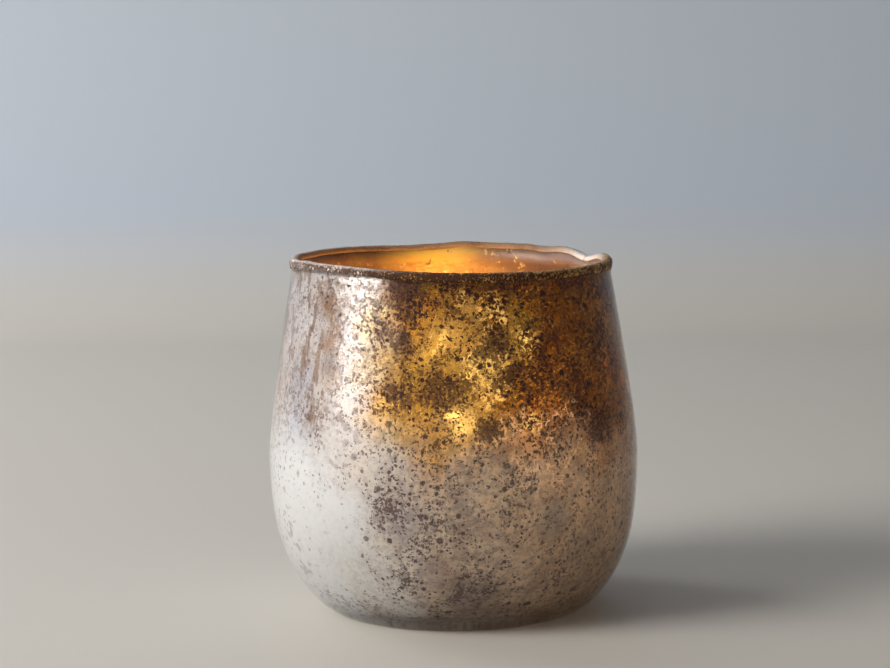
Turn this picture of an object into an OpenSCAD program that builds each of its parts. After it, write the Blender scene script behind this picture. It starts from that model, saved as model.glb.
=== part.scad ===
// Tealight holder: a blown tumbler of silvered glass with a tealight standing inside it.
// Origin at the centre of the foot, on the table. +Z is up. Sizes are in millimetres.

/* [Vessel] */
// Largest outside diameter, at the belly
belly_d = 96; // [90:1:104]
// Height of the belly above the table
belly_z = 41; // [37:0.5:45]
// Outside diameter of the foot
foot_d = 66; // [60:1:70]
// Outside diameter of the wall at the neck
neck_d = 82.8; // [78:0.1:86]
// Height of the neck, where the blown wall stops and the hand-worked collar begins
neck_z = 86.4; // [80:0.1:96]
// Fullness of the heel: higher is squarer in height
heel_rise = 2.7; // [2:0.1:3.2]
// Fullness of the heel: higher is rounder in plan
heel_round = 1.4; // [1.2:0.1:2.2]
// How late the wall draws in above the belly
draw_in = 1.22; // [1.1:0.01:1.6]
// Wall thickness at the belly
belly_wall = 2.4; // [2:0.1:3]
// Wall thickness at the neck
neck_wall = 2.1; // [1.9:0.1:2.2]
// Height of the inside floor above the table
floor_z = 6; // [5:0.5:9]
// Diameter of the inside floor before it turns up into the heel
floor_d = 54; // [48:1:56]
// Depth of the hollow under the foot
punt_h = 1.5; // [1:0.1:2.5]
// Width of the ring that the foot stands on
foot_ring = 6; // [4:0.5:8]

/* [Lip] */
// Thickness of the rolled bead
lip_bead_w = 2.4; // [2.3:0.1:3.2]
// Height from the neck to the middle of the bead
lip_rise = 3.3; // [3.2:0.1:4.5]
// Height of the rounded crown above the middle of the bead
lip_crown = 1.15; // [0.9:0.05:1.4]
// How far the gilt layer reaches down from the middle of the bead
gilt_drop = 1.3; // [1:0.1:1.4]
// Thickness of the gilt layer on the lip
gilt_t = 0.15; // [0.1:0.05:0.2]
// Gap under the gilt layer and above the coats, so that they never overlap
gilt_gap = 0.02; // [0.01:0.01:0.05]

/* [Coats] */
// Thickness of the silver coat inside the glass
silver_t = 0.12; // [0.1:0.02:0.2]
// Thickness of the lacquer that backs the silver
lacquer_t = 0.12; // [0.1:0.02:0.2]

/* [Tealight] */
// Outside diameter of the cup's wall at its top
cup_d = 38; // [36:0.5:39]
// Height of the cup
cup_h = 15.5; // [14:0.5:18]
// Thickness of the cup's sheet
cup_t = 0.25; // [0.2:0.05:0.4]
// Height of the wax at the cup's wall, above the cup's base
wax_h = 12; // [10:0.5:13]
// Diameter of the melt pool
pool_d = 30; // [20:1:33]
// Depth of the melt pool
pool_h = 1.4; // [1:0.1:2]
// Diameter of the wick
wick_d = 1.6; // [1.2:0.1:2.2]
// Height of the wick's upright part above the pool
wick_stand = 4.2; // [3:0.2:6]
// Length of the wick's bent tip
wick_tip = 2.6; // [2:0.2:4]
// Lean of the wick's bent tip from the vertical
wick_lean = 38; // [20:1:50]
// Diameter of the tab that holds the wick upright
tab_d = 13; // [11:0.5:15]
// Height of the tab's neck
tab_neck_h = 4; // [3:0.5:5]

/* [Hidden] */

HEEL_STEPS = 22;        // sides of the outline from the foot to the belly
WALL_STEPS = 16;        // sides of the outline from the belly to the neck
FLOOR_STEPS = 6;        // sides of the hollow under the foot
LIP_SIDES = 90;         // sides of the lip around the opening
LIP_ARC = 8;            // sides of the lip's rounded crown
ROUND = 96;

belly_r = belly_d / 2;
neck_r = neck_d / 2;
lip_r = neck_r - neck_wall / 2;                 // middle of the wall at the neck
collar_half = neck_wall / 2 + 0.06;             // half the collar's thickness, a hair over the wall's
seat_z = floor_z + silver_t + lacquer_t;        // where the tealight stands

// Dips (negative) and ears (positive) of the hand-worked lip, counterclockwise from +X:
// [direction in degrees, height in mm, half-width in degrees]
LIP_WAVES = [
    [25, -1.6, 9], [50, -0.45, 6], [85, 0.4, 6], [108, -0.4, 14], [150, 0.35, 24],
    [172, 0.4, 8], [205, 0.3, 7], [222, 1, 30], [315, -0.5, 38], [345, -0.25, 8]
];

tab_t = 0.3;                                    // sheet of the wick's tab
tab_neck_r = wick_d / 2 + tab_t;
cup_foot_r = cup_d / 2 - 1;                     // radius of the cup's base
cup_panel_r = cup_foot_r - 3.5;                 // edge of the raised middle of the base
cup_panel_h = 0.6;
cup_curl_r = 0.55;                              // radius of the curled rim
cup_wall_top_z = seat_z + cup_h - cup_curl_r;   // where the wall meets the curl
cup_inside_z = seat_z + cup_panel_h + cup_t;    // top of the base's raised middle
wax_z = seat_z + wax_h;
pool_z = wax_z - 0.5;                           // surface of the melted wax
wick_top_z = pool_z + wick_stand;

// Radius of the blown outline at height z: a full heel up to the belly, then a slow draw
// inward up to the neck. Both the outside and the inside of the glass follow it.
function blown_r(z, bottom_r, bottom_z, widest_r, top_r) =
    z <= belly_z
    ? bottom_r + (widest_r - bottom_r)
        * pow(1 - pow((belly_z - z) / (belly_z - bottom_z), heel_rise), 1 / heel_round)
    : widest_r - (widest_r - top_r) * pow((z - belly_z) / (neck_z - belly_z), draw_in);

// Points of that outline from its bottom edge up to the neck, closest together at the heel
function blown_outline(bottom_r, bottom_z, widest_r, top_r) = [
    for (i = [0 : HEEL_STEPS + WALL_STEPS])
        let (z = i <= HEEL_STEPS
            ? bottom_z + (belly_z - bottom_z) * pow(i / HEEL_STEPS, 1.8)
            : belly_z + (neck_z - belly_z) * (i - HEEL_STEPS) / WALL_STEPS)
        [blown_r(z, bottom_r, bottom_z, widest_r, top_r), z]
];

// Outline of the inside of the glass, moved inward by inset
function inside_outline(inset) = blown_outline(
    floor_d / 2 - inset, floor_z + inset, belly_r - belly_wall - inset, neck_r - neck_wall - inset);

function reversed(points) = [for (i = [len(points) - 1 : -1 : 0]) points[i]];

// Height of the lip's wave at an angle around the opening
function lip_wave(angle) = sum_waves(angle, 0);
function sum_waves(angle, i) =
    i == len(LIP_WAVES) ? 0 :
    let (turn = abs((angle - LIP_WAVES[i][0] + 540) % 360 - 180))
    LIP_WAVES[i][1] * exp(-pow(turn / LIP_WAVES[i][2], 2)) + sum_waves(angle, i + 1);

// Height of the middle of the bead at an angle around the opening
function bead_z(angle) = neck_z + lip_rise + lip_wave(angle);

// Rounded bead at an angle, from its inner shoulder over the crown to its outer shoulder.
// grow thickens it all round, for the layer on top.
function bead_section(angle, grow) =
    let (half = lip_bead_w / 2 + grow, shoulder = collar_half + grow, middle = bead_z(angle))
    concat(
        [[lip_r - shoulder, middle - gilt_drop]],
        [for (i = [0 : LIP_ARC])
            let (turn = 180 - 180 * i / LIP_ARC)
            [lip_r + half * cos(turn), middle + (lip_crown + grow) * sin(turn)]],
        [[lip_r + shoulder, middle - gilt_drop]]
    );

// Section of the glass above the neck: an upright collar with the bead on top
function lip_section(angle) = concat(
    [[lip_r - collar_half, neck_z]], bead_section(angle, 0), [[lip_r + collar_half, neck_z]]);

// Section of a coat on the inside of the collar, between two insets, up to the gilt
function collar_coat(angle, outer_inset, inner_inset) =
    let (outer_r = lip_r - collar_half - outer_inset, inner_r = lip_r - collar_half - inner_inset,
        top_z = bead_z(angle) - gilt_drop - gilt_gap)
    [[inner_r, neck_z], [inner_r, top_z], [outer_r, top_z], [outer_r, neck_z]];

// Closed ring swept around the opening through sections given as [radius, height] points
module swept_ring(sections) {
    rings = len(sections);
    sides = len(sections[0]);
    points = [
        for (i = [0 : rings - 1])
            let (angle = 360 * i / rings)
            for (p = sections[i]) [p[0] * cos(angle), p[0] * sin(angle), p[1]]
    ];
    faces = [
        for (i = [0 : rings - 1], j = [0 : sides - 1])
            let (
                a = i * sides + j,
                b = i * sides + (j + 1) % sides,
                c = ((i + 1) % rings) * sides + (j + 1) % sides,
                d = ((i + 1) % rings) * sides + j
            )
            each [[a, c, b], [a, d, c]]
    ];
    polyhedron(points = points, faces = faces, convexity = 6);
}

// Thin skin on the inside of the glass, between two insets from it
module inside_skin(outer_inset, inner_inset) {
    outer = inside_outline(outer_inset);
    inner = inside_outline(inner_inset);
    rotate_extrude($fn = ROUND)
        polygon(concat(
            [[0, floor_z + outer_inset]], outer, reversed(inner), [[0, floor_z + inner_inset]]));
    swept_ring([
        for (i = [0 : LIP_SIDES - 1]) collar_coat(360 * i / LIP_SIDES, outer_inset, inner_inset)
    ]);
}

module glass_vessel() {
    punt_r = foot_d / 2 - foot_ring;
    punt = [
        for (i = [0 : FLOOR_STEPS])
            let (r = punt_r * i / FLOOR_STEPS)
            [r, punt_h * (1 - pow(r / punt_r, 2))]
    ];
    color("lightgoldenrodyellow", 0.5) {
        rotate_extrude($fn = ROUND)
            polygon(concat(
                punt,
                blown_outline(foot_d / 2, 0, belly_r, neck_r),
                reversed(inside_outline(0)),
                [[0, floor_z]]));
        swept_ring([for (i = [0 : LIP_SIDES - 1]) lip_section(360 * i / LIP_SIDES)]);
    }
}

module silver_coat() {
    color("silver")
        inside_skin(0, silver_t);
}

module backing_lacquer() {
    color("darkgoldenrod")
        inside_skin(silver_t, silver_t + lacquer_t);
}

module lip_gilding() {
    color("saddlebrown")
        swept_ring([
            for (i = [0 : LIP_SIDES - 1])
                let (angle = 360 * i / LIP_SIDES)
                concat(bead_section(angle, gilt_t), reversed(bead_section(angle, gilt_gap)))
        ]);
}

// Outline of the cup's inside up to the given height, from the axis out to the wall
function cup_inside(top_z) =
    let (
        heel_z = seat_z + 3 * cup_t,
        slope = (cup_d / 2 - cup_foot_r) / (cup_wall_top_z - heel_z),
        wall_r = cup_foot_r - cup_t + slope * (top_z - heel_z)
    )
    [
        [0, cup_inside_z],
        [cup_panel_r - cup_t, cup_inside_z],
        [cup_panel_r + cup_t, seat_z + cup_t],
        [cup_foot_r - 3 * cup_t, seat_z + cup_t],
        [cup_foot_r - cup_t, seat_z + 3 * cup_t],
        [wall_r, top_z]
    ];

// Pressed aluminium cup with a raised middle and a curled rim
module tealight_cup() {
    outside = [
        [0, seat_z + cup_panel_h],
        [cup_panel_r - cup_t, seat_z + cup_panel_h],
        [cup_panel_r, seat_z],
        [cup_foot_r - 3 * cup_t, seat_z],
        [cup_foot_r, seat_z + 3 * cup_t],
        [cup_d / 2, cup_wall_top_z]
    ];
    color("gainsboro") {
        rotate_extrude($fn = ROUND)
            polygon(concat(outside, reversed(cup_inside(cup_wall_top_z))));
        translate([0, 0, cup_wall_top_z])
            rotate_extrude($fn = ROUND)
                translate([cup_d / 2 + cup_curl_r / 2, 0])
                    circle(r = cup_curl_r, $fn = 24);
    }
}

// Room that the wick's tab takes up inside the wax
module tab_body() {
    translate([0, 0, cup_inside_z])
        cylinder(h = tab_t, d = tab_d, $fn = ROUND);
    translate([0, 0, cup_inside_z])
        cylinder(h = tab_neck_h, r = tab_neck_r, $fn = ROUND);
}

module pool_body() {
    bowl_r = pool_d / 2;
    rotate_extrude($fn = ROUND)
        polygon([
            [0, pool_z - pool_h],
            [bowl_r - pool_h, pool_z - pool_h],
            [bowl_r, pool_z],
            [0, pool_z]
        ]);
}

module wick_bore() {
    translate([0, 0, cup_inside_z])
        cylinder(h = wax_z, d = wick_d, $fn = ROUND);
}

// Wax with a worn hollow in its top, where the flame has melted it
module wax() {
    color("ivory")
        difference() {
            rotate_extrude($fn = ROUND)
                polygon(concat(
                    cup_inside(wax_z),
                    [[pool_d / 2 + 1, wax_z], [pool_d / 2, pool_z], [0, pool_z]]));
            pool_body();
            tab_body();
            wick_bore();
        }
}

module melt_pool() {
    color("lightyellow")
        difference() {
            pool_body();
            wick_bore();
        }
}

// Braided wick: upright through the wax, with a burnt tip that leans to one side
module wick() {
    color("dimgray") {
        translate([0, 0, cup_inside_z])
            cylinder(h = wick_top_z - cup_inside_z, d = wick_d, $fn = ROUND);
        translate([0, 0, wick_top_z]) {
            sphere(d = wick_d, $fn = ROUND);
            rotate([0, wick_lean, 0])
                cylinder(h = wick_tip, d = wick_d, $fn = ROUND);
        }
    }
}

// Tinplate tab that holds the wick upright: a round plate with a crimped neck
module wick_tab() {
    color("slategray")
        difference() {
            tab_body();
            wick_bore();
        }
}

glass_vessel();
silver_coat();
backing_lacquer();
lip_gilding();
tealight_cup();
wax();
melt_pool();
wick();
wick_tab();
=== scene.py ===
"""The looks of the tealight holder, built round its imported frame. Metres, +Z up, front towards -Y."""

import math

import bpy
import numpy as np
from mathutils import Matrix, Vector, noise


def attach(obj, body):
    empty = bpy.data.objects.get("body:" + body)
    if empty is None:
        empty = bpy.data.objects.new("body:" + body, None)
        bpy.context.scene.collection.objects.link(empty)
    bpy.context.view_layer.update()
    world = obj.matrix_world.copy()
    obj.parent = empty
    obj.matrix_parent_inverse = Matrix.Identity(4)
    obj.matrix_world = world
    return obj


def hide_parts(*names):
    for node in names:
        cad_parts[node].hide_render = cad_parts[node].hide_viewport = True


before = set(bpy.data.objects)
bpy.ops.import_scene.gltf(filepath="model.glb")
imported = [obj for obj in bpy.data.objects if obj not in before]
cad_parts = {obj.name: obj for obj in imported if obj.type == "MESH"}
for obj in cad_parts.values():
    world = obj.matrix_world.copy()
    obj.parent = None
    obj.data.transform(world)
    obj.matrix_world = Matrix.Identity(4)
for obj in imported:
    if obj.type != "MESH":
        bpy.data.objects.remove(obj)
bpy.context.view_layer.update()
MM = 0.001

# ---------------------------------------------------------------- driving sizes, in millimetres
BELLY_R, BELLY_Z = 48.0, 41.0
FOOT_R, FOOT_RING, PUNT_H = 33.0, 6.0, 1.5
NECK_R, NECK_Z = 41.4, 86.4
HEEL_RISE, HEEL_ROUND, DRAW_IN = 2.7, 1.4, 1.22
BELLY_WALL, NECK_WALL = 2.4, 2.1
FLOOR_Z, FLOOR_R = 6.0, 27.0
LIP_R = NECK_R - NECK_WALL / 2
LIP_BEAD, LIP_RISE, LIP_CROWN = 1.2, 3.3, 1.15       # half-width, height above the neck, crown
GILT, GILT_DROP = 0.15, 1.3
GILT_Z = NECK_Z + LIP_RISE - GILT_DROP               # the bead's shoulder, before the wave
GILT_INSIDE = 1.15                                   # how far above the shoulder the gilding starts inside
COAT = 0.12                     # thickness of the silver, and of the lacquer behind it
BED = 0.05                      # how far the silver is bedded into the glass, so that no air shows between
SEAT_Z = FLOOR_Z + 2 * COAT
CUP_R, CUP_H, CUP_T = 19.0, 15.5, 0.25
CURL_R, PANEL_H = 0.55, 0.6
FLUTES = 60
FLAME_FOOT, FLAME_TOP = 13.2, 47.0                   # above the seat
CHAR_FOOT, CHAR_FULL = 12.2, 14.0                    # where the wick starts to be burnt, and is all burnt
LAMP_UP = 0.8                   # how far up the flame its lamp is, as a share of its height
CANDLE_POWER, NEAR_POWER = 0.18, 0.02                # watts: on the glass, and on the tealight itself

# Dips and ears of the lip, counterclockwise from +X: direction in degrees, height, half-width in degrees
LIP_WAVES = (
    (25, -1.6, 9), (50, -0.45, 6), (85, 0.4, 6), (108, -0.4, 14), (150, 0.35, 24),
    (172, 0.4, 8), (205, 0.3, 7), (222, 1.0, 30), (315, -0.5, 38), (345, -0.25, 8),
)

WAVE_DEPTH = 9.0                # how far below the gilding the wave dies out
AROUND = 288                    # steps round the vessel
GILT_AROUND, GILT_ACROSS = 1500, 26                  # steps round and across the gilding


# ---------------------------------------------------------------- shape of the blown glass
def blown_r(z, bottom_r, bottom_z, widest_r, top_r):
    """Radius at height z: a full heel up to the belly, then a slow draw inward to the neck."""
    z = np.asarray(z, float)
    low = np.clip((BELLY_Z - z) / (BELLY_Z - bottom_z), 0, 1)
    high = np.clip((z - BELLY_Z) / (NECK_Z - BELLY_Z), 0, None)
    heel = bottom_r + (widest_r - bottom_r) * (1 - low**HEEL_RISE) ** (1 / HEEL_ROUND)
    wall = widest_r - (widest_r - top_r) * high**DRAW_IN
    return np.where(z <= BELLY_Z, heel, wall)


def blown_outline(bottom_r, bottom_z, widest_r, top_r, heel_steps=56, wall_steps=44):
    """Points [radius, height] from the bottom edge to the neck, closest together at the heel."""
    low = bottom_z + (BELLY_Z - bottom_z) * np.linspace(0, 1, heel_steps + 1) ** 1.9
    high = np.linspace(BELLY_Z, NECK_Z, wall_steps + 1)[1:]
    z = np.concatenate([low, high])
    return np.column_stack([blown_r(z, bottom_r, bottom_z, widest_r, top_r), z])


def inside_outline(inset):
    """The inside face of the glass, moved inward by inset."""
    return blown_outline(FLOOR_R - inset, FLOOR_Z + inset,
                         BELLY_R - BELLY_WALL - inset, NECK_R - NECK_WALL - inset)


def lip_wave(angle):
    """Height of the lip's wave, angle in radians."""
    degrees = np.degrees(np.asarray(angle, float))
    total = np.zeros_like(degrees)
    for direction, height, spread in LIP_WAVES:
        turn = np.abs((degrees - direction + 540) % 360 - 180)
        total += height * np.exp(-((turn / spread) ** 2))
    return total


def bead_arc(grow, steps=14):
    """Section of the bead from its outer shoulder over the crown to its inner shoulder."""
    turn = np.linspace(0, math.pi, steps + 1)
    arc = np.column_stack([LIP_R + (LIP_BEAD + grow) * np.cos(turn),
                           NECK_Z + LIP_RISE + (LIP_CROWN + grow) * np.sin(turn)])
    shoulder = NECK_WALL / 2 + grow
    return np.vstack([[LIP_R + shoulder, GILT_Z], arc, [LIP_R - shoulder, GILT_Z]])


def edge_lift(angle):
    """How far the gilding's outside edge stands above the bead's shoulder, angle in radians."""
    degrees = np.degrees(np.asarray(angle, float))
    total = 0.05 * np.sin(np.radians(degrees * 7)) + 0.06 * np.sin(np.radians(degrees * 17 + 40)) + 0.12
    for direction, height, spread in ((226, 0.85, 30), (318, 0.55, 24)):
        turn = np.abs((degrees - direction + 540) % 360 - 180)
        total = total + height * np.exp(-((turn / spread) ** 2))
    return total


def follow_wave(section):
    """How much of the lip's wave each point of a section follows: none below the neck, all at the gilding."""
    t = np.clip((section[:, 1] - (GILT_Z - WAVE_DEPTH)) / WAVE_DEPTH, 0, 1)
    return t * t * (3 - 2 * t)


def hand_blown(points):
    """Shifts points as the maker's hand left them: the heel stands a little to the right of the
    belly and is tucked in on the left, and the wall has slow ripples."""
    out = np.array(points, float)
    z = out[:, 2]
    angle = np.arctan2(out[:, 1], out[:, 0])
    radius = np.hypot(out[:, 0], out[:, 1])
    reach = np.clip(radius / FOOT_R, 0, 1)
    ripple = np.array([
        0.16 * noise.noise(Vector((x, y, h)) / 19.0) + 0.05 * noise.noise(Vector((x, y, h + 90)) / 7.0)
        for x, y, h in out
    ])
    lobe = 0.10 * np.cos(2 * angle + 0.6) + 0.06 * np.cos(3 * angle - z / 30)
    swell = reach * (ripple + lobe * np.clip(z / 20, 0, 1) - 0.25 * np.exp(-(((z - 6) / 6) ** 2)) * (z > 0.3))
    out[:, 0] += swell * np.cos(angle) + 0.6 * np.exp(-((z / 14) ** 2)) * reach
    out[:, 1] += swell * np.sin(angle)
    return out


# ---------------------------------------------------------------- mesh helpers
def make_piece(name, points, faces, materials, face_slots=None, smooth=True):
    """Mesh object from points in millimetres."""
    mesh = bpy.data.meshes.new(name)
    mesh.from_pydata([tuple(p) for p in np.asarray(points, float) * MM], [], faces)
    for material in materials:
        mesh.materials.append(material)
    if face_slots is not None:
        mesh.polygons.foreach_set("material_index", face_slots)
    mesh.polygons.foreach_set("use_smooth", [smooth] * len(mesh.polygons))
    mesh.update()
    piece = bpy.data.objects.new(name, mesh)
    bpy.context.scene.collection.objects.link(piece)
    return piece


def revolve(section, around, lift=None, start_pole=False, end_pole=False, closed=False):
    """Points and quads of an outline [radius, height] turned round Z. lift(angle, row) raises a ring's
    points. A pole closes an end on the axis; closed joins the outline's ends."""
    section = np.asarray(section, float)
    rows = len(section)
    angles = np.arange(around) * 2 * math.pi / around
    points, faces, rings = [], [], []
    for i, (radius, height) in enumerate(section):
        if (i == 0 and start_pole) or (i == rows - 1 and end_pole):
            rings.append([len(points)])
            points.append((0.0, 0.0, height))
            continue
        z = np.full(around, height) + (0 if lift is None else lift(angles, i))
        rings.append(list(range(len(points), len(points) + around)))
        points.extend(zip(radius * np.cos(angles), radius * np.sin(angles), z))
    pairs = list(zip(rings, rings[1:])) + ([(rings[-1], rings[0])] if closed else [])
    for low, high in pairs:
        for k in range(around):
            n = (k + 1) % around
            if len(low) == 1:
                faces.append((low[0], high[n], high[k]))
            elif len(high) == 1:
                faces.append((low[k], low[n], high[0]))
            else:
                faces.append((low[k], low[n], high[n], high[k]))
    return np.array(points), faces


# ---------------------------------------------------------------- node helpers
class Nodes:
    """Short names for building a material's node tree. Patterns are in the piece's own millimetres."""

    def __init__(self, name):
        self.material = bpy.data.materials.new(name)
        self.material.use_nodes = True
        self.tree = self.material.node_tree
        self.tree.nodes.clear()
        self.out = self.add("ShaderNodeOutputMaterial")
        where = self.add("ShaderNodeTexCoord")
        self.place = self.vector("MULTIPLY", where.outputs["Object"], (1000, 1000, 1000))
        self.facing = where.outputs["Normal"]

    def add(self, kind, **settings):
        node = self.tree.nodes.new(kind)
        for key, value in settings.items():
            setattr(node, key, value)
        return node

    def put(self, socket, value):
        if isinstance(value, bpy.types.NodeSocket):
            self.tree.links.new(value, socket)
        elif value is not None:
            if isinstance(value, (tuple, list)) and len(value) == 3 and len(socket.default_value) == 4:
                value = (*value, 1.0)
            socket.default_value = value

    def math(self, operation, a, b=None, clamp=False):
        node = self.add("ShaderNodeMath", operation=operation, use_clamp=clamp)
        self.put(node.inputs[0], a)
        self.put(node.inputs[1], b)
        return node.outputs[0]

    def vector(self, operation, a, b=None):
        node = self.add("ShaderNodeVectorMath", operation=operation)
        self.put(node.inputs[0], a)
        self.put(node.inputs[1], b)
        return node.outputs["Value" if operation in ("LENGTH", "DISTANCE", "DOT_PRODUCT") else "Vector"]

    def split(self, vector):
        node = self.add("ShaderNodeSeparateXYZ")
        self.put(node.inputs[0], vector)
        return node.outputs

    def step(self, value, low, high):
        """0 below low, 1 above high, smooth between. low may be the larger."""
        node = self.add("ShaderNodeMapRange", interpolation_type="SMOOTHSTEP")
        self.put(node.inputs["Value"], value)
        node.inputs["From Min"].default_value = low
        node.inputs["From Max"].default_value = high
        return node.outputs["Result"]

    def noise(self, size, detail=2.0, rough=0.5, distort=0.0, shift=(0, 0, 0), place=None, stretch=None):
        """Fractal noise from 0 to 1, size in millimetres."""
        node = self.add("ShaderNodeTexNoise")
        at = self.vector("ADD", place or self.place, shift)
        if stretch:
            at = self.vector("MULTIPLY", at, stretch)
        self.put(node.inputs["Vector"], at)
        node.inputs["Scale"].default_value = 1.0 / size
        node.inputs["Detail"].default_value = detail
        node.inputs["Roughness"].default_value = rough
        node.inputs["Distortion"].default_value = distort
        return node.outputs["Fac"]

    def cells(self, size, shift=(0, 0, 0), place=None, feature="F1"):
        """Voronoi cells: distance in cell sizes, and a random colour for each."""
        node = self.add("ShaderNodeTexVoronoi", feature=feature)
        self.put(node.inputs["Vector"], self.vector("ADD", place or self.place, shift))
        node.inputs["Scale"].default_value = 1.0 / size
        return node

    def colour_noise(self, size, detail=2.0):
        """Three noises at once, for bending other patterns."""
        node = self.add("ShaderNodeTexNoise")
        self.put(node.inputs["Vector"], self.place)
        node.inputs["Scale"].default_value = 1.0 / size
        node.inputs["Detail"].default_value = detail
        return node.outputs["Color"]

    def mix(self, share, a, b):
        """Colour mix."""
        node = self.add("ShaderNodeMix", data_type="RGBA")
        self.put(node.inputs["Factor"], share)
        self.put(node.inputs[6], a)
        self.put(node.inputs[7], b)
        return node.outputs[2]

    def blend(self, share, a, b):
        """Value mix."""
        node = self.add("ShaderNodeMix", data_type="FLOAT")
        self.put(node.inputs[0], share)
        self.put(node.inputs[2], a)
        self.put(node.inputs[3], b)
        return node.outputs[0]

    def near(self, centre, radius, place=None):
        """1 at a point, falling smoothly to 0 at radius."""
        return self.step(self.vector("DISTANCE", place or self.place, centre), radius, 0.0)

    def bump(self, height, depth_mm, strength=1.0):
        node = self.add("ShaderNodeBump")
        node.inputs["Strength"].default_value = strength
        node.inputs["Distance"].default_value = depth_mm * MM
        self.put(node.inputs["Height"], height)
        return node.outputs["Normal"]

    def principled(self, **values):
        node = self.add("ShaderNodeBsdfPrincipled")
        for key, value in values.items():
            self.put(node.inputs[key.replace("_", " ")], value)
        return node.outputs[0]

    def shader(self, kind, **values):
        node = self.add(kind)
        for key, value in values.items():
            self.put(node.inputs[key.replace("_", " ")], value)
        return node.outputs[0]

    def mix_shader(self, share, a, b):
        node = self.add("ShaderNodeMixShader")
        self.put(node.inputs[0], share)
        self.tree.links.new(a, node.inputs[1])
        self.tree.links.new(b, node.inputs[2])
        return node.outputs[0]

    def clear_to_lamps(self, surface, tint=(1, 1, 1)):
        """Lets lamplight through, so that a layer in front doesn't darken the one behind it."""
        path = self.add("ShaderNodeLightPath")
        clear = self.shader("ShaderNodeBsdfTransparent", Color=tint)
        return self.mix_shader(path.outputs["Is Shadow Ray"], surface, clear)

    def finish(self, surface):
        self.tree.links.new(surface, self.out.inputs["Surface"])
        return self.material


def on_wall(x, z):
    """Point on the front of the glass, x across and z up, in millimetres."""
    radius = float(blown_r(z, FOOT_R, 0, BELLY_R, NECK_R)) - BELLY_WALL
    return (x, -math.sqrt(max(radius**2 - x**2, 0.0)), z)


# Patches of pattern on the front of the glass. x and z are the middle of the patch, in millimetres.
# Where the spatter crowds together, or thins out: x, z, radius, how much denser
SPATTER = (
    (-12, 85, 8, 0.11), (-2, 83, 7, 0.04), (10, 87, 6, 0.06), (-13, 74, 6, 0.16), (-9, 79, 5, 0.08),
    (-12, 63, 7, 0.10), (-1, 62, 8, 0.15), (-4, 68, 5, 0.05), (9, 74, 6, 0.12), (13, 67, 6, 0.11),
    (18, 61, 6, 0.05), (9, 53, 6, 0.16), (16, 40, 5, 0.14), (20, 70, 9, 0.05), (30, 62, 12, 0.04),
    (36, 52, 8, 0.11), (34, 72, 10, 0.04), (-16, 33, 8, 0.10), (-6, 28, 9, 0.10), (-12, 14, 8, 0.11),
    (4, 11, 11, 0.13), (26, 13, 8, 0.11), (25, 35, 9, 0.04), (-41, 78, 11, 0.22), (-30, 22, 20, -0.08),
    (2, 55, 5, -0.03), (-3, 75, 4, -0.04), (-18, 78, 6, 0.02), (-19, 64, 9, 0.03), (38, 12, 12, 0.05),
    (-30, 4, 10, 0.10),
)

# Where pale crystals catch the light between the spots, their pale colour a painted glint: x, z, radius, how
# bright
CRYSTALS = (
    (-17, 79, 7, 0.45), (-17, 70, 7, 0.35), (-17, 60, 8, 0.3), (7, 70, 8, 0.8), (10, 63, 7, 0.7),
    (2, 55, 6, 0.6), (9, 80, 8, 0.7), (-3, 75, 7, 0.6), (4, 66, 6, 0.6), (17, 72, 6, 0.6),
    (2, 85, 6, 0.5), (18, 55, 6, 0.4),
)

# Where the most candlelight comes through: x, z, radius, how much more
HOT = (
    (-3, 75, 9, 0.22), (7, 70, 8, 0.14), (2, 79, 8, 0.14), (2, 55, 6, 0.05), (-7, 71, 7, 0.10),
    (9, 63, 6, 0.08), (-17, 78, 6, 0.02), (-16, 68, 7, 0.04), (-15, 57, 8, 0.05),
)

# Washes of colour over the coat: x, z, radius, strength, colour
# Not all of these are the coat's own colour. The brown and grey washes at x -30 are a painted reflection of
# the dark gap between the two windows,
# is a painted shadow under the lip, and the bright yellow and orange ones at (-3, 75), (7, 68) and (2, 55)
# are painted candle glow.
# the near-white one at (-35, 76) and the pale ones at (-24, 44) and (-24, 14) are painted reflections of the
# windows, the dark one at (-12, 87)
WASHES = (
    (-30, 83, 6, 0.85, (0.42, 0.24, 0.14)), (-30, 74, 5, 0.80, (0.46, 0.26, 0.14)),
    (-30, 66, 6, 0.60, (0.50, 0.33, 0.22)), (-30, 69, 6, 0.60, (0.30, 0.30, 0.34)),
    (-40, 81, 7, 0.85, (0.20, 0.13, 0.10)), (-35, 76, 8, 0.7, (0.98, 0.95, 0.95)),
    (-45, 69, 9, 0.75, (0.24, 0.17, 0.13)), (-37, 62, 10, 0.60, (0.60, 0.63, 0.76)),
    (-39, 50, 10, 0.50, (0.68, 0.71, 0.86)), (-24, 44, 13, 0.50, (0.94, 0.82, 0.72)),
    (-24, 14, 20, 0.65, (0.93, 0.91, 0.86)), (-8, 80, 11, 0.70, (0.95, 0.34, 0.01)),
    (-12, 87, 7, 0.70, (0.20, 0.09, 0.035)), (-10, 67, 11, 0.55, (0.80, 0.54, 0.06)),
    (-3, 75, 7, 0.70, (1.0, 0.58, 0.04)), (7, 68, 10, 0.60, (1.0, 0.82, 0.28)),
    (15, 75, 9, 0.60, (0.80, 0.56, 0.06)), (2, 55, 8, 0.70, (1.0, 0.84, 0.44)),
    (-14, 54, 12, 0.50, (0.86, 0.64, 0.26)), (-19, 79, 9, 0.75, (0.84, 0.66, 0.40)),
    (-19, 68, 10, 0.75, (0.86, 0.66, 0.36)), (22, 52, 9, 0.60, (0.38, 0.20, 0.08)),
    (38, 76, 11, 0.50, (0.62, 0.34, 0.07)), (8, 53, 5, 0.50, (0.44, 0.20, 0.08)),
    (24, 29, 8, 0.65, (0.36, 0.35, 0.33)), (31, 21, 8, 0.40, (0.34, 0.32, 0.28)),
    (12, 36, 11, 0.35, (0.76, 0.64, 0.44)), (-12, 31, 12, 0.50, (0.46, 0.38, 0.38)),
    (4, 9, 13, 0.60, (0.34, 0.27, 0.26)), (38, 12, 15, 0.50, (0.44, 0.30, 0.18)),
)


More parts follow.
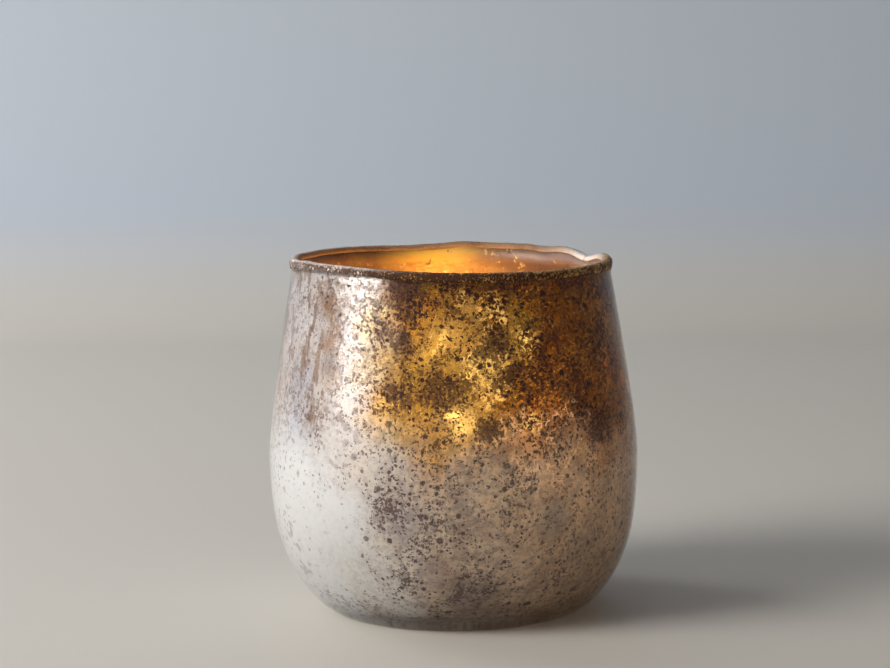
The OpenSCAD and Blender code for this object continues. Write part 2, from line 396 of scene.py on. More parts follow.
# ---------------------------------------------------------------- materials
def clear_glass():
    """Blown glass with slow waves and small seeds. Its skin has lost a little of its polish."""
    n = Nodes("clear_glass")
    waves = n.noise(9.0, 1.0, 0.4)
    seeds = n.step(n.noise(1.3, 3.0, 0.6), 0.66, 0.72)
    height = n.math("ADD", waves, n.math("MULTIPLY", seeds, 0.08))
    return n.finish(n.principled(
        Base_Color=(0.97, 0.97, 0.95), Roughness=0.10, IOR=1.5, Transmission_Weight=1.0,
        Specular_Tint=(0.28, 0.28, 0.28),
        Normal=n.bump(height, 0.35, 0.3)))


def hidden_glass():
    """The inner face of the glass, which the silver covers."""
    n = Nodes("hidden_glass")
    return n.finish(n.shader("ShaderNodeBsdfTransparent", Color=(1, 1, 1)))


def grit(n, place, crowd, size, low, high, shift=(0, 0, 0)):
    """Fine granular spatter: small dark grains that crowd together where crowd is high."""
    fine = n.noise(size, 1.2, 0.55, shift=shift, place=place)
    patch = n.noise(size * 6.0, 3.0, 0.6, distort=0.6, shift=shift, place=place)
    both = n.math("ADD", n.math("MULTIPLY", fine, 0.58), n.math("MULTIPLY", patch, 0.42))
    return n.step(n.math("ADD", both, crowd), low, high)


def spots(n, place, crowd, size, share, small, large, shift, ring=0.0):
    """Round spots, one to a cell where its luck allows. ring lightens their middles."""
    cell = n.cells(size, shift, place)
    luck = n.split(cell.outputs["Color"])
    reach = n.blend(luck[1], small, large)
    there = n.step(n.math("ADD", luck[0], n.math("MULTIPLY", crowd, -2.5)), share + 0.03, share - 0.03)
    depth = n.math("SUBTRACT", reach, cell.outputs["Distance"])
    body = n.step(depth, -0.03, 0.08)
    if ring:
        middle = n.step(depth, 0.12, 0.22)
        body = n.math("SUBTRACT", body, n.math("MULTIPLY", middle, ring))
    return n.math("MULTIPLY", body, there)


def spattered_silver():
    """Silver coat seen through the glass: amber at the top, pale at the foot, spattered all over. Its colour
    also carries painted light: window reflections on the left and lower left, shade on the right and under
    the lip, candle glow and glints in the middle.
    """
    n = Nodes("spattered_silver")
    roam = n.vector("SUBTRACT", n.colour_noise(15.0, 4.0), (0.5, 0.5, 0.5))
    roam = n.vector("ADD", n.place, n.vector("MULTIPLY", roam, (24, 24, 36)))
    x, _, z = n.split(roam)
    jitter = n.vector("SUBTRACT", n.colour_noise(0.9, 2.0), (0.5, 0.5, 0.5))
    bent = n.vector("ADD", n.place, n.vector("MULTIPLY", jitter, (1.0, 1.0, 1.0)))
    mild = n.vector("MULTIPLY", n.vector("SUBTRACT", roam, n.place), (0.35, 0.35, 0.35))
    mild = n.vector("ADD", n.place, mild)
    wander = n.split(n.vector("SUBTRACT", n.colour_noise(26.0, 3.0), (0.5, 0.5, 0.5)))
    reach = n.blend(n.step(n.split(n.place)[1], -8.0, 22.0), 32.0, 120.0)
    x_broad = n.math("ADD", x, n.math("MULTIPLY", wander[0], reach))
    z_broad = n.math("ADD", z, n.math("MULTIPLY", wander[2], reach))
    upper = n.step(z_broad, 36.0, 62.0)
    left = n.step(x_broad, -12.0, -27.0)
    gold_side = n.step(x, -6.0, -18.0)
    right = n.step(x, 8.0, 26.0)
    low_left_sheen = n.math("MULTIPLY", n.step(x_broad, -3.0, -30.0), n.step(z, 58.0, 36.0))
    under_lip_shade = n.math("MULTIPLY", n.step(z, 80.0, 86.0), n.step(x, -22.0, -12.0))

    # how crowded the spatter is from place to place
    crowd = n.math("MULTIPLY", n.step(z, 36.0, 58.0), 0.062)
    # more dark spatter just under the lip: partly the spatter, partly painted shade under the lip
    crowd = n.math("ADD", crowd, n.math("MULTIPLY", under_lip_shade, 0.03))
    crowd = n.math("SUBTRACT", crowd, n.math("MULTIPLY", left, 0.04))
    for across, up, radius, more in SPATTER:
        crowd = n.math("ADD", crowd, n.math("MULTIPLY", n.near(on_wall(across, up), radius, mild), more))

    grains = grit(n, bent, crowd, 1.1, 0.595, 0.635)
    pepper = grit(n, n.place, crowd, 0.7, 0.585, 0.63, (31, 7, 19))
    tiny = spots(n, bent, crowd, 1.0, 0.24, 0.20, 0.42, (11, 2, 5))
    fine = spots(n, bent, crowd, 1.6, 0.28, 0.17, 0.36, (3, 25, 11))
    small = spots(n, bent, crowd, 2.8, 0.24, 0.15, 0.30, (13, 5, 7))
    large = spots(n, bent, crowd, 5.0, 0.20, 0.12, 0.25, (29, 17, 5), ring=0.3)
    broken = n.step(n.noise(0.7, 2.0, 0.6, shift=(8, 60, 3)), 0.46, 0.54)
    grains = n.math("MULTIPLY", grains, n.blend(broken, 0.30, 1.0))
    dust = n.math("MAXIMUM", grains, n.math("MULTIPLY", pepper, 0.8))
    dots = n.math("MAXIMUM", n.math("MAXIMUM", small, large), n.math("MAXIMUM", fine, tiny))
    dots = n.math("MULTIPLY", dots, n.math("SUBTRACT", 1.0, n.math("MULTIPLY", left, 0.5)))
    dark = n.math("MAXIMUM", dust, dots, clamp=True)

    # the ground under the spatter
    drift = n.noise(6.5, 4.0, 0.6, shift=(0, 70, 0))
    amber = n.mix(n.step(drift, 0.36, 0.62), (1.0, 0.49, 0.02), (0.66, 0.23, 0.008))
    # darker and redder amber on the right: partly the coat's own colour, partly painted shade on the side
    # away from the windows
    amber = n.mix(right, amber, n.mix(n.step(drift, 0.4, 0.6), (0.64, 0.205, 0.008), (0.44, 0.125, 0.006)))
    cloud = n.noise(9.0, 5.0, 0.6, shift=(0, 70, 9))
    beige = n.mix(n.step(cloud, 0.40, 0.62), (0.88, 0.72, 0.56), (0.60, 0.45, 0.36))
    # browner beige on the right: partly the coat's own colour, partly painted shade on the side away from the
    # windows
    beige_right = n.mix(n.step(cloud, 0.4, 0.6), (0.74, 0.52, 0.34), (0.60, 0.42, 0.28))
    beige = n.mix(n.math("MULTIPLY", right, 0.8), beige, beige_right)
    pearl = n.mix(n.step(n.noise(10.0, 4.0, 0.6), 0.4, 0.66), (0.83, 0.80, 0.80), (0.70, 0.69, 0.73))
    ground = n.mix(n.math("MULTIPLY", left, 0.92), n.mix(upper, beige, amber), pearl)
    # near-white on the lower left: partly the silver's own colour, partly a painted reflection of the windows
    ground = n.mix(low_left_sheen, ground, (0.98, 0.97, 0.97))
    # the washes, among them the painted reflections, shadow and glow named above the table
    for across, up, radius, strength, colour in WASHES:
        wash = n.math("MULTIPLY", n.near(on_wall(across, up), radius, mild), strength)
        ground = n.mix(wash, ground, colour)
    streak = n.step(n.noise(4.0, 4.0, 0.65, shift=(0, 0, 7), place=bent, stretch=(1, 1, 0.22)), 0.54, 0.60)
    streak = n.math("MULTIPLY", streak, n.math("MULTIPLY", n.step(x, -20.0, -28.0), n.step(z, 48.0, 60.0)))
    ground = n.mix(n.math("MULTIPLY", streak, 0.75), ground, (0.34, 0.22, 0.16))
    mottle = n.noise(1.3, 4.0, 0.7, shift=(3, 3, 80))
    calm = n.math("MAXIMUM", low_left_sheen, n.math("MULTIPLY", left, 0.7))
    faint = n.math("MULTIPLY", n.blend(calm, 0.75, 0.12), n.step(mottle, 0.56, 0.40))
    ground = n.mix(faint, ground, n.mix(0.45, ground, n.mix(upper, (0.16, 0.10, 0.08), (0.24, 0.08, 0.01))))
    stain = grit(n, n.place, crowd, 2.2, 0.52, 0.62, (40, 0, 0))
    stain_colour = n.mix(upper, (0.34, 0.26, 0.24), (0.24, 0.10, 0.04))
    ground = n.mix(n.math("MULTIPLY", stain, 0.45), ground, stain_colour)
    # pale crystals between the spots: a painted glint of cream colour; further down, the coat is also thin to
    # candlelight there
    crystal_glint = n.step(n.noise(1.5, 3.0, 0.7, shift=(0, 0, 33), place=bent), 0.45, 0.55)
    bright = crystal_zone(n, mild)
    crystal_glint = n.math("MULTIPLY", crystal_glint, n.math("MULTIPLY", bright, n.step(dark, 0.5, 0.0)), clamp=True)
    ground = n.mix(n.math("MULTIPLY", crystal_glint, 0.7), ground, (1.0, 0.84, 0.36))
    shade = n.mix(upper, (0.165, 0.12, 0.115), (0.072, 0.022, 0.020))
    shade = n.mix(gold_side, shade, (0.100, 0.040, 0.028))
    shade = n.mix(left, shade, (0.20, 0.13, 0.11))
    shade = n.mix(dots, shade, n.mix(upper, (0.17, 0.125, 0.12), (0.048, 0.017, 0.018)))
    colour = n.mix(dark, ground, shade)
    scratch = scratches(n)
    # scratches through the coat; their pale copper colour is partly painted candlelight glinting through them
    colour = n.mix(n.math("MULTIPLY", scratch, 0.75), colour, (0.95, 0.60, 0.44))

    metal = n.blend(gold_side, n.blend(upper, 0.42, 0.80), n.blend(upper, 0.12, 0.28))
    rough = n.blend(dark, n.blend(upper, 0.48, 0.27), 0.5)
    relief = n.math("SUBTRACT", n.noise(0.8, 3.0, 0.6), n.math("MULTIPLY", dark, 0.8))
    coat = n.principled(Base_Color=colour, Metallic=n.blend(dark, metal, 0.3), Roughness=rough,
                        Specular_IOR_Level=0.25, Normal=n.bump(relief, 0.12, 0.5))

    # where the silver is thin, candlelight comes through
    thin = n.math("MULTIPLY", n.blend(upper, 0.003, 0.11), n.blend(n.step(x, 3.0, 22.0), 1.0, 0.15))
    thin = n.math("MULTIPLY", thin, n.blend(left, 1.0, 0.25))
    thin = n.math("MULTIPLY", thin, n.step(n.noise(7.0, 4.0, 0.6, shift=(5, 5, 5)), 0.22, 0.68))
    for across, up, radius, more in HOT:
        thin = n.math("ADD", thin, n.math("MULTIPLY", n.near(on_wall(across, up), radius, mild), more))
    thin = n.math("MULTIPLY", thin, n.math("SUBTRACT", 1.0, n.math("MULTIPLY", dark, 0.9)), clamp=True)
    thin = n.math("MAXIMUM", thin, n.math("MULTIPLY", crystal_glint, 0.75))
    thin = n.math("MAXIMUM", thin, n.math("MULTIPLY", scratch, 0.12))
    soft = n.shader("ShaderNodeBsdfTranslucent", Color=(1.0, 0.90, 0.50))
    beam = n.shader("ShaderNodeBsdfRefraction", Color=(1.0, 0.86, 0.50), Roughness=0.62, IOR=0.667)
    glow = n.mix_shader(0.10, soft, beam)
    return n.finish(n.mix_shader(thin, coat, glow))


def crystal_zone(n, place):
    """How strongly the pale crystals, a painted glint, show from place to place."""
    total = None
    for across, up, radius, strength in CRYSTALS:
        share = n.math("MULTIPLY", n.near(on_wall(across, up), radius, place), strength)
        total = share if total is None else n.math("MAXIMUM", total, share)
    return n.step(total, 0.05, 0.75)


def scratches(n):
    """Fine curled scratches through the coat, mostly on the right below the middle."""
    curl = n.vector("ADD", n.place, n.vector("MULTIPLY", n.colour_noise(1.6), (3.4, 3.4, 3.4)))
    line = n.cells(3.6, (3, 3, 3), curl, feature="DISTANCE_TO_EDGE")
    thin = n.step(line.outputs["Distance"], 0.044, 0.018)
    here = n.step(n.noise(4.0, 3.0, 0.6, shift=(70, 0, 0)), 0.51, 0.56)
    zone = n.math("MAXIMUM", n.near(on_wall(13, 45), 19), n.near(on_wall(44, 61), 15))
    zone = n.math("MAXIMUM", zone, n.near(on_wall(27, 47), 18))
    zone = n.step(n.math("ADD", zone, n.math("MULTIPLY", n.noise(7.0, 2.0, 0.5), 0.5)), 0.45, 0.65)
    return n.math("MULTIPLY", n.math("MULTIPLY", thin, here), zone)


def hidden_silver():
    """The side of the silver that the lacquer covers."""
    n = Nodes("silver_back")
    plain = n.principled(Base_Color=(0.7, 0.68, 0.6), Metallic=0.9, Roughness=0.4)
    return n.finish(n.clear_to_lamps(plain))


def bronze_lacquer():
    """The inside of the coat: old bronze with gold patches and dark spots, half a mirror for the flame, with
    a painted pool of candlelight round the flame and painted shade towards the right.
    """
    n = Nodes("bronze_lacquer")
    cloud = n.noise(9.0, 6.0, 0.65)
    colour = n.mix(n.step(cloud, 0.35, 0.65), (0.29, 0.165, 0.065), (0.20, 0.10, 0.055))
    x, _, z = n.split(n.place)
    top = n.step(z, 85.2, 86.6)
    # painted pool of candlelight on the far inner wall near the flame, strongest in the top band
    glow = n.math("MULTIPLY", n.near((-6, 40, 91), 19), n.blend(top, 0.35, 1.0))
    colour = n.mix(glow, colour, (1.0, 0.58, 0.08))
    # darker towards the right: painted shade that dims the window's reflection on that side of the inner wall
    colour = n.mix(n.math("MULTIPLY", n.step(x, 8.0, 22.0), 0.75), colour, (0.13, 0.07, 0.05))
    leaf = n.step(n.noise(3.0, 5.0, 0.7, shift=(4, 9, 60)), 0.58, 0.66)
    colour = n.mix(n.math("MULTIPLY", leaf, 0.7), colour, (0.72, 0.48, 0.18))
    dark = n.step(n.noise(2.4, 6.0, 0.7, shift=(9, 9, 9)), 0.58, 0.66)
    colour = n.mix(n.math("MULTIPLY", dark, 0.8), colour, (0.07, 0.035, 0.022))
    metal = n.blend(top, n.blend(dark, 0.62, 0.4), 0.05)
    coat = n.principled(Base_Color=colour, Metallic=metal, Roughness=n.blend(dark, 0.42, 0.55),
                        Normal=n.bump(n.noise(2.2, 4.0, 0.6), 0.3, 0.6))
    return n.finish(n.clear_to_lamps(coat))


def hidden_lacquer():
    """The side of the lacquer that lies against the silver."""
    n = Nodes("lacquer_back")
    plain = n.principled(Base_Color=(0.4, 0.25, 0.1), Roughness=0.5)
    return n.finish(n.clear_to_lamps(plain))


def gilt_bronze():
    """Dark bronze with gold grains, with a painted highlight on the crest at the left, palest on a rubbed
    patch at the back right that is partly real wear and partly a painted highlight, matt and ochre inside the
    mouth.
    """
    n = Nodes("gilt_bronze")
    x = n.split(n.place)[0]
    reach = n.vector("LENGTH", n.vector("MULTIPLY", n.place, (1, 1, 0)))
    inside = n.step(reach, LIP_R + 0.1, LIP_R - 0.8)
    crest = n.step(n.split(n.facing)[2], 0.55, 0.95)
    side = n.blend(n.step(x, 2.0, 26.0), n.step(x, -12.0, -28.0), 1.8)
    grain = n.noise(0.52, 4.0, 0.75)
    tone = n.noise(5.0, 4.0, 0.6, shift=(0, 0, 4))
    share = n.math("ADD", n.math("MULTIPLY", crest, 0.06), n.math("MULTIPLY", side, 0.03))
    share = n.math("ADD", n.math("ADD", grain, n.math("MULTIPLY", tone, 0.35)), share)
    gold = n.step(share, 0.745, 0.795)
    dark = n.mix(n.step(x, -10.0, -30.0), (0.075, 0.030, 0.014), (0.13, 0.070, 0.050))
    bright = n.mix(n.step(x, -10.0, -30.0), (0.74, 0.40, 0.11), (0.94, 0.80, 0.68))
    colour = n.mix(gold, dark, bright)
    # painted highlight on the crest of the bead on the left, the side towards the windows
    painted_crest_highlight = n.math("MULTIPLY", crest, n.step(x, -8.0, -24.0))
    colour = n.mix(n.math("MULTIPLY", painted_crest_highlight, 0.6), colour, (0.86, 0.74, 0.68))
    ochre = n.mix(n.step(x, 8.0, 26.0), (0.40, 0.215, 0.095), (0.34, 0.24, 0.17))
    ochre = n.mix(n.math("MULTIPLY", n.step(tone, 0.45, 0.62), 0.6), ochre, (0.17, 0.085, 0.045))
    colour = n.mix(n.math("MULTIPLY", inside, 0.9), colour, ochre)
    rub = n.step(n.math("ADD", tone, n.math("MULTIPLY", grain, 0.4)), 0.46, 0.66)
    # a rubbed patch at the back right: partly real wear, partly a painted highlight
    worn_and_highlight = n.math("MULTIPLY", n.near((37, 15, 90), 19), rub)
    colour = n.mix(worn_and_highlight, colour, (0.64, 0.61, 0.58))
    rough = n.blend(worn_and_highlight, n.blend(inside, n.blend(gold, 0.50, 0.28), 0.55), 0.34)
    return n.finish(n.principled(Base_Color=colour, Metallic=n.blend(inside, 0.80, 0.25), Roughness=rough,
                                 Normal=n.bump(n.math("MULTIPLY", grain, n.blend(worn_and_highlight, 1.0, 0.4)), 0.5, 1.0)))


def aluminium():
    n = Nodes("tealight_aluminium")
    draw = n.noise(0.5, 3.0, 0.6, stretch=(1, 1, 0.1))
    rough = n.blend(draw, 0.2, 0.42)
    return n.finish(n.principled(Base_Color=(0.80, 0.80, 0.82), Metallic=1.0, Roughness=rough,
                                 Normal=n.bump(draw, 0.05, 0.4)))


def candle_wax():
    n = Nodes("candle_wax")
    mottle = n.noise(3.0, 4.0, 0.6)
    colour = n.mix(mottle, (0.93, 0.88, 0.76), (0.88, 0.80, 0.64))
    return n.finish(n.principled(Base_Color=colour, Roughness=0.45, Subsurface_Weight=0.5,
                                 Subsurface_Radius=(1.0, 0.6, 0.3), Subsurface_Scale=0.004,
                                 Normal=n.bump(mottle, 0.2, 0.3)))


def melted_wax():
    n = Nodes("melted_wax")
    swirl = n.noise(6.0, 3.0, 0.5)
    colour = n.mix(swirl, (0.95, 0.86, 0.62), (0.88, 0.74, 0.46))
    return n.finish(n.principled(Base_Color=colour, Roughness=0.04, Coat_Weight=1.0, Coat_Roughness=0.02,
                                 Normal=n.bump(swirl, 0.1, 0.1)))


def burnt_wick():
    n = Nodes("burnt_wick")
    z = n.split(n.place)[2]
    strand = n.noise(0.4, 4.0, 0.7)
    char = n.step(n.math("ADD", z, n.math("MULTIPLY", strand, 2.0)), SEAT_Z + CHAR_FOOT, SEAT_Z + CHAR_FULL)
    colour = n.mix(char, (0.75, 0.66, 0.48), (0.015, 0.012, 0.011))
    return n.finish(n.principled(Base_Color=colour, Roughness=0.85, Normal=n.bump(strand, 0.2, 1.0)))


def tinplate():
    n = Nodes("tinplate")
    rough = n.blend(n.noise(1.5, 4.0), 0.25, 0.45)
    return n.finish(n.principled(Base_Color=(0.6, 0.6, 0.6), Metallic=1.0, Roughness=rough))


def flame_glow(low_z, high_z):
    """Blue and nearly clear at the root, amber to white above."""
    n = Nodes("flame_glow")
    z = n.split(n.place)[2]
    along = n.add("ShaderNodeMapRange")
    n.put(along.inputs["Value"], z)
    along.inputs["From Min"].default_value = low_z
    along.inputs["From Max"].default_value = high_z
    ramp = n.add("ShaderNodeValToRGB")
    n.tree.links.new(along.outputs["Result"], ramp.inputs[0])
    stops = ((0.0, (0.05, 0.10, 0.9, 1)), (0.14, (0.5, 0.25, 0.12, 1)), (0.34, (1.0, 0.55, 0.16, 1)),
             (0.62, (1.0, 0.72, 0.34, 1)), (0.9, (1.0, 0.52, 0.14, 1)), (1.0, (1.0, 0.34, 0.05, 1)))
    elements = ramp.color_ramp.elements
    while len(elements) < len(stops):
        elements.new(0.5)
    for element, (position, colour) in zip(elements, stops):
        element.position, element.color = position, colour
    bright = n.blend(n.step(along.outputs["Result"], 0.05, 0.4), 0.6, 14.0)
    glow = n.shader("ShaderNodeEmission", Color=ramp.outputs[0], Strength=bright)
    clear = n.shader("ShaderNodeBsdfTransparent", Color=(1, 1, 1))
    body = n.step(along.outputs["Result"], 0.0, 0.3)
    return n.finish(n.mix_shader(n.math("MULTIPLY", body, 0.9), clear, glow))


# ---------------------------------------------------------------- pieces
def build_vessel():
    """The blown glass, from the middle of the punt round the lip to the middle of the floor."""
    outer = blown_outline(FOOT_R, 0, BELLY_R, NECK_R)
    inner = inside_outline(0)[::-1]
    punt_r = FOOT_R - FOOT_RING
    punt_radii = np.linspace(0, punt_r, 12)
    punt = np.column_stack([punt_radii, PUNT_H * (1 - (punt_radii / punt_r) ** 2)])
    ring = np.array([[punt_r + FOOT_RING * t, 0.0] for t in (0.25, 0.5, 0.75)])
    arc = bead_arc(0.0)
    section = np.vstack([punt, ring, outer, arc, inner, [[FLOOR_R * 0.5, FLOOR_Z], [0, FLOOR_Z]]])
    first_arc = len(punt) + len(ring) + len(outer)
    share = follow_wave(section)
    points, faces = revolve(section, AROUND, lift=lambda a, i: lip_wave(a) * share[i],
                            start_pole=True, end_pole=True)
    rows_inside = first_arc + len(arc)
    slots = [1 if i // AROUND >= rows_inside else 0 for i in range(len(faces))]
    glass = make_piece("glass_tumbler", hand_blown(points), faces, [clear_glass(), hidden_glass()], slots)
    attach(glass, "holder")
    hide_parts("glass_vessel")


def build_skin(name, outer_inset, inner_inset, front, back, front_is_outer, node):
    """A thin closed skin on the inside of the glass."""
    outer, inner = (np.vstack([inside_outline(inset), [NECK_R - NECK_WALL - inset, GILT_Z - 0.03]])
                    for inset in (outer_inset, inner_inset))
    floor = np.linspace(0, 1, 10)[:-1]
    bottom = np.column_stack([floor * outer[0, 0], np.full(9, outer[0, 1])])
    top = np.column_stack([floor * inner[0, 0], np.full(9, inner[0, 1])])
    section = np.vstack([bottom, outer, inner[::-1], top[::-1]])
    share = follow_wave(section)
    brim = len(bottom) + len(outer) - 1              # row at the top of the outward face

    def lift(angle, row):
        rise = 0
        if row == brim:
            rise = edge_lift(angle) if front_is_outer else GILT_INSIDE
        elif row == brim + 1:
            rise = GILT_INSIDE
        return lip_wave(angle) * share[row] + rise

    points, faces = revolve(section, AROUND, lift=lift, start_pole=True, end_pole=True)
    is_outer = [i // AROUND < brim for i in range(len(faces))]
    slots = [0 if o == front_is_outer else 1 for o in is_outer]
    skin = make_piece(name, hand_blown(points), faces, [front, back], slots)
    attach(skin, "holder")
    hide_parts(node)


def build_gilding():
    """The band of gilding that wraps the lip, with a wandering outside edge and a lumpy skin."""
    outside, inside = bead_arc(GILT, GILT_ACROSS), bead_arc(0.02, GILT_ACROSS)[::-1]
    section = np.vstack([outside, inside])
    share = follow_wave(section)
    points, faces = revolve(section, GILT_AROUND, lift=lambda a, i: lip_wave(a) * share[i], closed=True)
    angles = np.arange(GILT_AROUND) * 2 * math.pi / GILT_AROUND
    inside_rise = np.full(GILT_AROUND, GILT_INSIDE)
    edges = ((0, 1, edge_lift(angles)), (len(section) - 1, 1, edge_lift(angles)),
             (len(outside) - 1, -1, inside_rise), (len(outside), -1, inside_rise))
    for row, side, rise in edges:
        ring = points[row * GILT_AROUND : (row + 1) * GILT_AROUND]
        outward = side * (LIP_BEAD - NECK_WALL / 2) * rise / GILT_DROP
        ring += np.column_stack([outward * np.cos(angles), outward * np.sin(angles), rise])
    points = hand_blown(points)
    # fine lumps on the outside of the gilding, pushed out from the middle of the bead
    skin = points[: GILT_AROUND * len(outside)]
    angle = np.arctan2(skin[:, 1], skin[:, 0])
    centre = np.column_stack([LIP_R * np.cos(angle), LIP_R * np.sin(angle),
                              np.full(len(skin), NECK_Z + LIP_RISE)])
    away = skin - centre
    away /= np.maximum(np.linalg.norm(away, axis=1, keepdims=True), 1e-9)
    grain = np.array([noise.fractal(Vector(p) / 0.9, 0.8, 2.0, 3) for p in skin])
    skin += away * (0.10 * np.clip(grain, -0.6, 1.2))[:, None]
    band = make_piece("lip_gilt_band", points, faces, [gilt_bronze()])
    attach(band, "holder")
    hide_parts("lip_gilding")


def build_cup():
    """Pressed aluminium cup with a raised middle, a fluted wall and a curled rim."""
    foot_r = CUP_R - 1
    panel_r = foot_r - 3.5
    wall_top = SEAT_Z + CUP_H - CURL_R
    wall_foot = SEAT_Z + 3 * CUP_T
    wall = [[foot_r + t, wall_foot + t * (wall_top - wall_foot)] for t in np.linspace(0, 1, 14)]
    base = [[0, SEAT_Z + PANEL_H], [panel_r - CUP_T, SEAT_Z + PANEL_H],
            [panel_r, SEAT_Z], [foot_r - 3 * CUP_T, SEAT_Z]]
    curl = [[CUP_R + CURL_R / 2 - CURL_R * math.cos(a), wall_top + CURL_R * math.sin(a)]
            for a in np.linspace(-0.3 * math.pi, 1.35 * math.pi, 16)]
    inner_wall = [[r - CUP_T, z] for r, z in wall]
    inner_base = [[0, SEAT_Z + PANEL_H + CUP_T], [panel_r - CUP_T, SEAT_Z + PANEL_H + CUP_T],
                  [panel_r + CUP_T, SEAT_Z + CUP_T], [foot_r - 3 * CUP_T, SEAT_Z + CUP_T]]
    section = np.array(base + wall + curl[::-1] + inner_wall[::-1] + inner_base[::-1])
    points, faces = revolve(section, FLUTES * 6, start_pole=True, end_pole=True)
    angle = np.arctan2(points[:, 1], points[:, 0])
    radius = np.hypot(points[:, 0], points[:, 1])
    height = np.clip((points[:, 2] - wall_foot) / (wall_top - wall_foot), 0, 1)
    flute = 0.10 * np.cos(FLUTES * angle) * np.sin(math.pi * height) * (radius > foot_r - 3 * CUP_T)
    points[:, 0] += flute * np.cos(angle)
    points[:, 1] += flute * np.sin(angle)
    cup = make_piece("tealight_shell", points, faces, [aluminium()])
    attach(cup, "tealight")
    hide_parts("tealight_cup")
    return cup


def build_flame(cup):
    """The flame, with the lamps in it. It rides with the tealight."""
    low, high = SEAT_Z + FLAME_FOOT, SEAT_Z + FLAME_TOP
    t = np.linspace(0, 1, 40)
    radius = 5.2 * np.sin(math.pi * t**0.55) ** 0.9 * (1 - 0.35 * t)
    section = np.column_stack([radius, low + (high - low) * t])
    section[0, 0] = section[-1, 0] = 0
    points, faces = revolve(section, 48, start_pole=True, end_pole=True)
    points[:, 0] += 1.2 + 0.6 * np.sin((points[:, 2] - low) / 9)
    flame = make_piece("flame", points, faces, [flame_glow(low, high)])
    flame.visible_shadow = False
    flame.visible_diffuse = False
    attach(flame, "tealight")
    place = (0.001, 0, (low + LAMP_UP * (high - low)) * MM)
    tealight = [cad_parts[node] for node in TEALIGHT] + [cup, flame]
    candlelight("candlelight", flame, place, CANDLE_POWER, tealight, "EXCLUDE")
    candlelight("candlelight_near", flame, place, NEAR_POWER, tealight, "INCLUDE")


def candlelight(name, flame, place, power, pieces, rule):
    """Lamp in the flame. The wax so close below it takes a weaker lamp than the glass does."""
    lamp = bpy.data.lights.new(name, "POINT")
    lamp.energy = power
    lamp.color = (1.0, 0.60, 0.22)
    lamp.shadow_soft_size = 0.004
    holder = bpy.data.objects.new(name, lamp)
    bpy.context.scene.collection.objects.link(holder)
    holder.location = place
    holder.parent = flame
    group = bpy.data.collections.new(name + "_pieces")
    for piece in pieces:
        group.objects.link(piece)
    holder.light_linking.receiver_collection = group
    for linked in group.collection_objects:
        linked.light_linking.link_state = rule


TEALIGHT = {"wax": candle_wax, "melt_pool": melted_wax, "wick": burnt_wick, "wick_tab": tinplate}
build_vessel()
build_skin("silver_skin", -BED, COAT - 0.02, spattered_silver(), hidden_silver(), True,
           "silver_coat")
build_skin("lacquer_skin", COAT, 2 * COAT, bronze_lacquer(), hidden_lacquer(), False,
           "backing_lacquer")
build_gilding()
for node, make in TEALIGHT.items():
    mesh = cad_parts[node].data
    mesh.materials.clear()
    mesh.materials.append(make())
build_flame(build_cup())


# ---------------------------------------------------------------- stage
def build_stage():
    """A pale floor that turns up into a plain grey-blue wall behind."""
    turn_y, turn_r, wall_top, half_w, front_y = 0.52, 0.22, 2.6, 3.0, -2.0
    bend = [(turn_y + turn_r * math.sin(a), turn_r * (1 - math.cos(a)))
            for a in np.linspace(0, math.pi / 2, 24)]
    line = [(front_y, 0.0)] + bend + [(turn_y + turn_r, wall_top)]
    points = [(x / MM, y / MM, z / MM) for y, z in line for x in (-half_w, half_w)]
    faces = [(2 * i, 2 * i + 1, 2 * i + 3, 2 * i + 2) for i in range(len(line) - 1)]
    n = Nodes("stage_sweep")
    height = n.split(n.place)[2]
    colour = n.mix(n.step(height, 0.0, 60.0), (0.58, 0.545, 0.49), (0.47, 0.515, 0.58))
    n.finish(n.principled(Base_Color=colour, Roughness=0.6))
    sweep = make_piece("stage_sweep", points, faces, [n.material])


def soften(lamp):
    """Fades an area lamp towards its edges, so that its reflection has no outline."""
    lamp.use_nodes = True
    tree = lamp.node_tree
    where = tree.nodes.new("ShaderNodeNewGeometry")
    reach = tree.nodes.new("ShaderNodeVectorMath")
    reach.operation = "DISTANCE"
    reach.inputs[1].default_value = (0.5, 0.5, 0.0)
    fade = tree.nodes.new("ShaderNodeMapRange")
    fade.interpolation_type = "SMOOTHSTEP"
    fade.inputs["From Min"].default_value = 0.52
    fade.inputs["From Max"].default_value = 0.12
    fade.inputs["To Max"].default_value = 2.2
    tree.links.new(where.outputs["Parametric"], reach.inputs[0])
    tree.links.new(reach.outputs["Value"], fade.inputs["Value"])
    tree.links.new(fade.outputs["Result"], tree.nodes["Emission"].inputs["Strength"])


def softbox(name, place, size, power, colour=(1, 1, 1), target=(0, 0, 0.05)):
    """Rectangular area lamp aimed at target."""
    lamp = bpy.data.lights.new(name, "AREA")
    soften(lamp)
    lamp.shape = "RECTANGLE"
    lamp.size, lamp.size_y = size
    lamp.energy = power
    lamp.color = colour
    box = bpy.data.objects.new(name, lamp)
    bpy.context.scene.collection.objects.link(box)
    box.location = place
    box.rotation_euler = (Vector(target) - Vector(place)).to_track_quat("-Z", "Y").to_euler()
    box.visible_camera = False
    return box


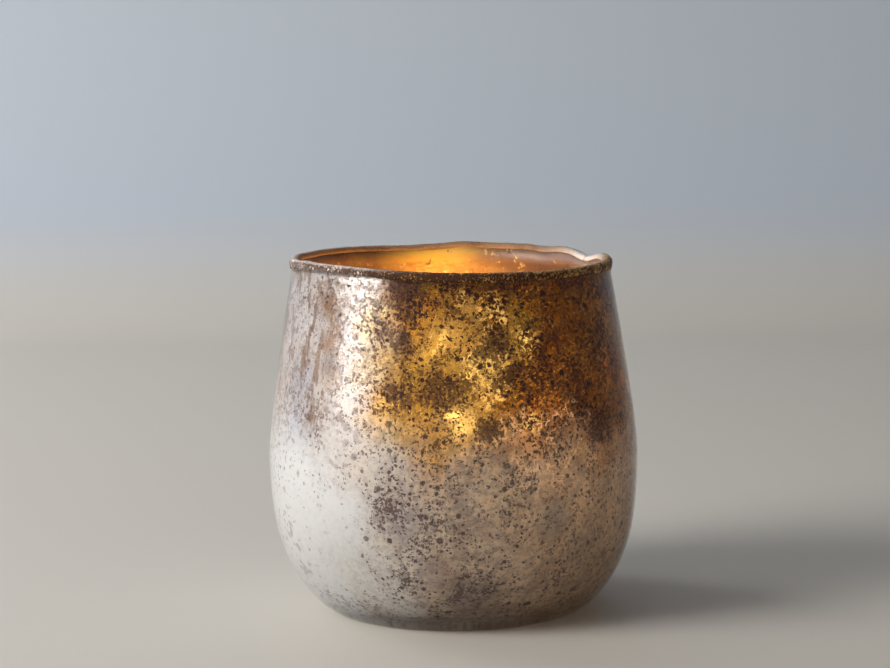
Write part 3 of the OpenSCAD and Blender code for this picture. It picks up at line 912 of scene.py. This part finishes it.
def build_lights():
    """Two windows on the left, the table's warm bounce low on the right, and a room that is darker there."""
    softbox("window_front", (-1.15, -0.50, 0.62), (1.15, 1.45), 30, (1.0, 0.985, 0.96))
    softbox("window_back", (-0.95, 0.78, 0.62), (1.05, 1.45), 15, (0.97, 0.985, 1.0))
    bounce = softbox("table_bounce", (0.22, -0.17, 0.014), (0.30, 0.04), 0.24, (1.0, 0.80, 0.58),
                     target=(0, 0, 0.03))
    bounce.visible_glossy = False
    world = bpy.data.worlds.new("room")
    world.use_nodes = True
    tree = world.node_tree
    where = tree.nodes.new("ShaderNodeTexCoord")
    side = tree.nodes.new("ShaderNodeVectorMath")
    side.operation = "DOT_PRODUCT"
    side.inputs[1].default_value = (0.85, -0.50, 0.0)
    fade = tree.nodes.new("ShaderNodeMapRange")
    fade.inputs["From Min"].default_value = -0.35
    fade.inputs["From Max"].default_value = 0.6
    fade.inputs["To Min"].default_value = 0.85
    fade.inputs["To Max"].default_value = 0.36
    tree.links.new(where.outputs["Generated"], side.inputs[0])
    tree.links.new(side.outputs["Value"], fade.inputs["Value"])
    tree.links.new(fade.outputs["Result"], tree.nodes["Background"].inputs["Strength"])
    tree.nodes["Background"].inputs["Color"].default_value = (0.30, 0.30, 0.31, 1)
    bpy.context.scene.world = world


def build_camera():
    """A 100 mm lens in front of the holder, a little above it and looking down."""
    lens = bpy.data.cameras.new("camera")
    lens.lens, lens.sensor_width = 100, 36
    lens.clip_start, lens.clip_end = 0.05, 50
    camera = bpy.data.objects.new("camera", lens)
    bpy.context.scene.collection.objects.link(camera)
    aim = Matrix.Translation(CAMERA_PLACE)
    for angle, axis in ((CAMERA_YAW, "Z"), (90 - CAMERA_DOWN, "X"), (-CAMERA_ROLL, "Z")):
        aim = aim @ Matrix.Rotation(math.radians(angle), 4, axis)
    camera.matrix_world = aim
    bpy.context.scene.camera = camera


CAMERA_PLACE = (0, -0.638, 0.153)
CAMERA_DOWN, CAMERA_ROLL, CAMERA_YAW = 7.34, 0.644, 0.166
bpy.context.scene.view_settings.view_transform = "Standard"
build_stage()
build_lights()
build_camera()
